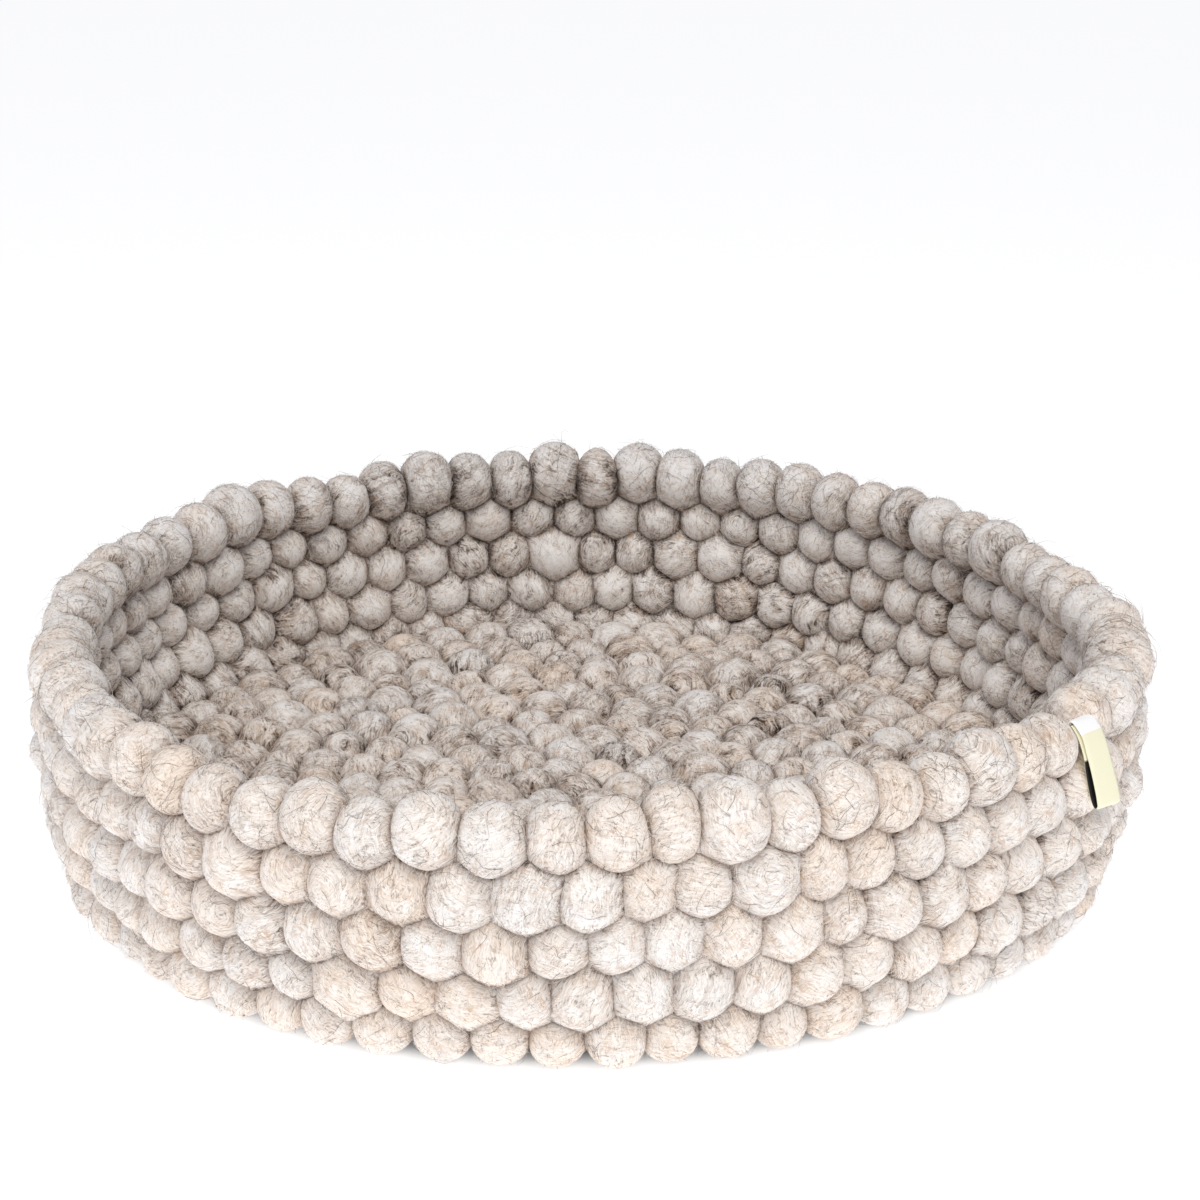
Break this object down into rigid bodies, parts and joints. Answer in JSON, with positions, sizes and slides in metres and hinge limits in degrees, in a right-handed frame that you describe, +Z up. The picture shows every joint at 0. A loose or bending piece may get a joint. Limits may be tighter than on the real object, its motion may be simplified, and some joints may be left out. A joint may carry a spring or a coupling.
{
  "type": "felt ball pet basket",
  "caption": "Low round pet basket sewn from rows of felted wool balls, with a flat floor of balls, a thicker rim and a small folded ribbon label.",
  "frame": {"origin": "on the ground under the middle of the basket's outline", "axes": "+Z up out of the mouth, -Y to the front, +X to the right"},
  "size_m": [0.4542, 0.4488, 0.1048],
  "materials": {
    "felted_wool": "fuzzy matt felt, undyed cream, grey and brown wool mixed",
    "ribbon": "satin woven ribbon"
  },
  "bodies": {
    "root": {"floor_mat": "felted_wool", "wall_row_1": "felted_wool", "wall_row_2": "felted_wool", "wall_row_3": "felted_wool", "wall_row_4": "felted_wool", "rim_row": "felted_wool", "label": "ribbon"}
  },
  "joints": []
}
